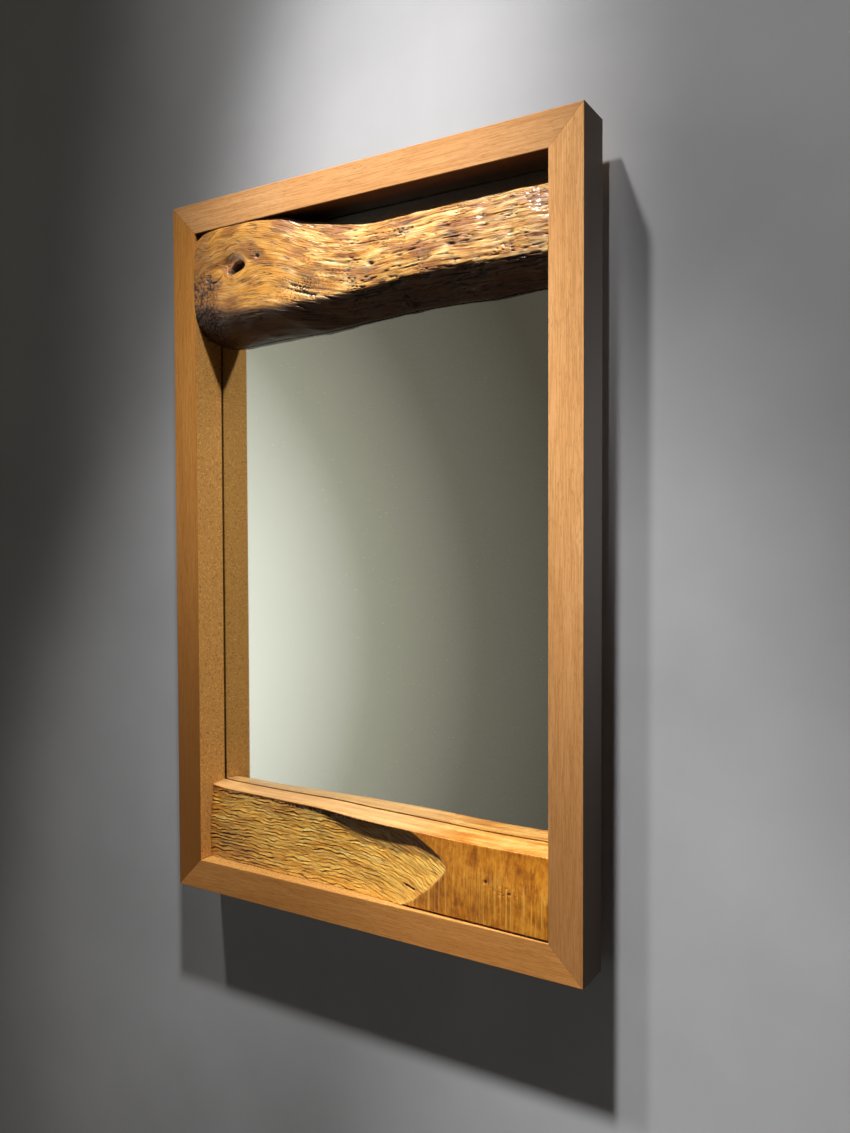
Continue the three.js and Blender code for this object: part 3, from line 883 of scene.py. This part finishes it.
def beam_varnish():
    """Old beam: golden weathered ridges with painted shade in the grooves and under the top's edge, an
    orange-brown sawn face with saw streaks, and a glossy top with a painted highlight at its left end.
    """
    wood = Finish("beam_wood")
    at = wood.place()
    old = wood.painted("old")
    bands = wood.noise(grain_space(wood, 0.045, 0.0055), 1, 3, 0.6, 0.3)
    threads = wood.noise(grain_space(wood, 0.012, 0.0010), 1, 3, 0.6, 0.2)
    weathered = wood.ramp(
        bands,
        (0.32, (0.70, 0.310, 0.038)),
        (0.50, (0.96, 0.500, 0.074)),
        (0.66, (0.99, 0.660, 0.170)),
    )
    # Stains darken the weathered wood, and so does painted shade under the top's edge.
    weathered = wood.mix(wood.painted("stain") * 0.6, weathered, (0.24, 0.085, 0.022))
    weathered = wood.mix(wood.between(threads, 0.48, 0.66) * 0.65, weathered, (0.15, 0.048, 0.007))
    blotches = wood.noise(at, 60, 4, 0.65)
    mottle = wood.noise(wood.stretched(at, (330, 330, 80)), 1, 3, 0.7)
    streaks = wood.noise(wood.stretched(at, (420, 420, 7)), 1, 2, 0.6)
    streak_zone = wood.noise(wood.stretched(at, (36, 36, 14)), 1, 2, 0.6)
    sawn = wood.ramp(
        blotches * 0.5 + mottle * 0.5,
        (0.38, (0.27, 0.072, 0.003)),
        (0.50, (0.49, 0.164, 0.007)),
        (0.62, (0.66, 0.265, 0.022)),
    )
    up = wood.add("SeparateXYZ", {}, {"Vector": at}, output=2)
    low_down = 1.0 - wood.between(up, recess_floor + 30 * mm, recess_floor + 66 * mm)
    streaked = wood.between(streaks, 0.45, 0.62) * wood.between(streak_zone, 0.38, 0.54) * low_down
    sawn = wood.mix(streaked * 0.75, sawn, (0.78, 0.40, 0.060))
    top = wood.painted("top")
    lengthwise = wood.noise(wood.stretched(at, (14, 170, 170)), 1, 3, 0.6)
    planed = wood.ramp(
        lengthwise * 0.7 + blotches * 0.3,
        (0.38, (0.50, 0.165, 0.016)),
        (0.50, (0.68, 0.305, 0.055)),
        (0.62, (0.84, 0.470, 0.140)),
    )
    along_it = wood.add("SeparateXYZ", {}, {"Vector": at}, output=0)
    # Painted highlight: the top is paler towards its left end, where the light falls brightest.
    top_highlight = (1.0 - wood.between(along_it, 20 * mm, 130 * mm)) * 0.38
    planed = wood.mix(top_highlight, planed, (0.98, 0.66, 0.34))
    sawn = wood.mix(top, sawn, planed)
    colour = wood.mix(old, sawn, weathered)
    # Painted shade: gap paints the grooves, notches, holes and the foot line dark.
    gap = wood.painted("gap")
    colour = wood.mix(wood.between(gap, 0.12, 0.8) * 0.9, colour, (0.060, 0.019, 0.004))
    height = old * ((1.0 - threads) * 0.7 + bands * 0.4) + (1.0 - old) * (mottle * 0.25 + streaks * 0.1)
    return wood.surface(
        Base_Color=colour,
        Roughness=0.36 + old * 0.16,
        Normal=wood.bump(height, 0.7 * mm, 0.8),
        Coat_Weight=0.55 - gap * 0.15 - old * 0.40,
        Coat_Roughness=0.14,
    )


offcut_stations = [*steps(offcut_low.x / mm, offcut_high.x / mm, 520), offcut_high.x / mm]
offcut = along_rings(offcut_stations, offcut_ring, (*PAINTED, "old", "top"))
keep(
    offcut,
    "beam_offcut",
    beam_varnish(),
    replaces=("bottom_offcut",),
    smooth_under=70,
    planed=False,
)

# ----------------------------------------------------------------------------------------------------
# Back: a plywood board closes the rebate, held by ten small screws. A pine cleat with a bevelled lower
# edge is screwed on and hangs on a matching cleat on the wall. Two felted pine blocks hold the foot off it.
def plywood():
    """Birch plywood: broad pale figure on the faces and thin dark layers along the edges."""
    board = Finish("plywood")
    at = board.place()
    figure = board.noise(board.stretched(at, (9, 9, 2.5)), 2, 4, 0.6, 1.2)
    lines = board.noise(board.stretched(at, (260, 260, 12)), 2, 3, 0.6)
    face = board.ramp(
        figure,
        (0.30, (0.48, 0.33, 0.18)),
        (0.50, (0.60, 0.43, 0.25)),
        (0.70, (0.68, 0.51, 0.32)),
    )
    lined = board.mix(board.between(lines, 0.5, 0.7) * 0.35, face, (0.36, 0.22, 0.11))
    depth = board.add("SeparateXYZ", {}, {"Vector": at}, output=1)
    two_plies = 2.4 * mm
    layers = board.between((depth * (math.tau / two_plies)).math("SINE"), 0.1, 0.5)
    colour = board.mix(layers * 0.3, lined, (0.30, 0.18, 0.09))
    return board.surface(Base_Color=colour, Roughness=0.68, Normal=board.bump(lines, 0.2 * mm, 0.5))


def pine(name, along_z, offset):
    """Planed pine: pale wood with orange growth lines and an odd darker streak, along the part."""
    wood = Finish(name)
    turn = (0, math.radians(90), 0) if along_z else (0, 0, 0)
    at = wood.place(location=offset, rotation=turn)
    rings = wood.noise(wood.stretched(at, (1.5, 60, 60)), 2, 2, 0.5, 0.5)
    hairs = wood.noise(wood.stretched(at, (14, 600, 600)), 2, 2, 0.6)
    pale = wood.ramp(
        rings,
        (0.35, (0.62, 0.42, 0.20)),
        (0.52, (0.55, 0.33, 0.13)),
        (0.60, (0.66, 0.47, 0.25)),
    )
    colour = wood.mix(wood.between(hairs, 0.5, 0.7) * 0.3, pale, (0.40, 0.22, 0.08))
    return wood.surface(Base_Color=colour, Roughness=0.62, Normal=wood.bump(hairs, 0.2 * mm, 0.5))


def grey_felt():
    felt = Finish("grey_felt")
    at = felt.place()
    fuzz = felt.noise(at, 1400, 4, 0.7, 1.5)
    patches = felt.noise(at, 120, 3)
    tone = felt.ramp(fuzz, (0.35, (0.075, 0.075, 0.080)), (0.65, (0.20, 0.20, 0.21)))
    colour = felt.mix(felt.between(patches, 0.4, 0.7) * 0.3, tone, (0.10, 0.10, 0.11))
    return felt.surface(Base_Color=colour, Roughness=0.95, Normal=felt.bump(fuzz, 0.5 * mm, 0.9))


def eased(node, name, ease, material, body="mirror"):
    """A part's own shape with its sharp edges broken."""
    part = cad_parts[node]
    bm = bmesh.new()
    bm.from_mesh(part.data)
    bm.transform(part.matrix_world)
    bmesh.ops.remove_doubles(bm, verts=bm.verts, dist=0.01 * mm)
    bmesh.ops.dissolve_limit(bm, angle_limit=math.radians(1), verts=bm.verts, edges=bm.edges)
    sharp = [e for e in bm.edges if len(e.link_faces) == 2 and e.calc_face_angle() > math.radians(40)]
    ease_edges(bm, sharp, ease)
    bmesh.ops.triangulate(bm, faces=[f for f in bm.faces if len(f.verts) > 4])
    return keep(bm, name, material, body=body, replaces=(node,))


eased("backing_board", "plywood_back", 0.4 * mm, plywood())
planed_edge = 0.6 * mm
upper_pine = pine("pine_cleat", False, (0.4, 0.1, 0.7))
lower_pine = pine("pine_wall_cleat", False, (1.9, 0.3, 0.2))
eased("mirror_cleat", "hanging_cleat", planed_edge, upper_pine)
eased("wall_cleat", "fixed_cleat", planed_edge, lower_pine, body="wall_cleat")
felt_finish = grey_felt()
for side, further in (("left", 0.9), ("right", 1.9)):
    block = pine(side + "_pine_block", True, (further, 0.2, 0.5))
    eased(side + "_spacer", side + "_block", planed_edge, block)
    eased(side + "_felt_pad", side + "_felt", 0.3 * mm, felt_finish)

# ----------------------------------------------------------------------------------------------------
# Fixings: beech dowels in the branch's ends, beech biscuits in the mitres, and zinc-plated steel screws.
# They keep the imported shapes, and take their finishes here.


def beech():
    """Beech: pale pinkish wood with short dark flecks."""
    wood = Finish("beech")
    at = wood.place()
    grain = wood.noise(wood.stretched(at, (30, 300, 300)), 2, 3, 0.6)
    flecks = wood.between(wood.noise(wood.stretched(at, (200, 900, 900)), 2, 2), 0.58, 0.68)
    pale = wood.ramp(grain, (0.3, (0.50, 0.30, 0.16)), (0.7, (0.66, 0.44, 0.26)))
    colour = wood.mix(flecks * 0.5, pale, (0.28, 0.13, 0.06))
    return wood.surface(Base_Color=colour, Roughness=0.6, Normal=wood.bump(grain, 0.1 * mm, 0.5))


def zinc_steel():
    """Bright zinc plate, a little cloudy and finely scratched."""
    steel = Finish("zinc_steel")
    at = steel.place()
    cloud = steel.noise(at, 500, 3, 0.6)
    scratches = steel.noise(steel.stretched(at, (300, 3000, 3000)), 1, 2)
    colour = steel.ramp(cloud, (0.3, (0.52, 0.51, 0.47)), (0.7, (0.70, 0.70, 0.68)))
    gloss = 0.28 + steel.between(cloud, 0.4, 0.7) * 0.18 + scratches * 0.1
    normal = steel.bump(scratches, 0.03 * mm)
    return steel.surface(Base_Color=colour, Metallic=1.0, Roughness=gloss, Normal=normal)


beech_finish = beech()
for corner in ("top_left", "top_right", "bottom_left", "bottom_right"):
    dress("biscuit_" + corner, beech_finish)
for end in ("left_upper", "left_lower", "right_upper", "right_lower"):
    dress("branch_dowel_" + end, beech_finish)
steel_finish = zinc_steel()
for kind, count in (("board", 10), ("cleat", 4), ("offcut", 3)):
    for number in range(1, count + 1):
        dress(f"{kind}_screw_{number}", steel_finish)
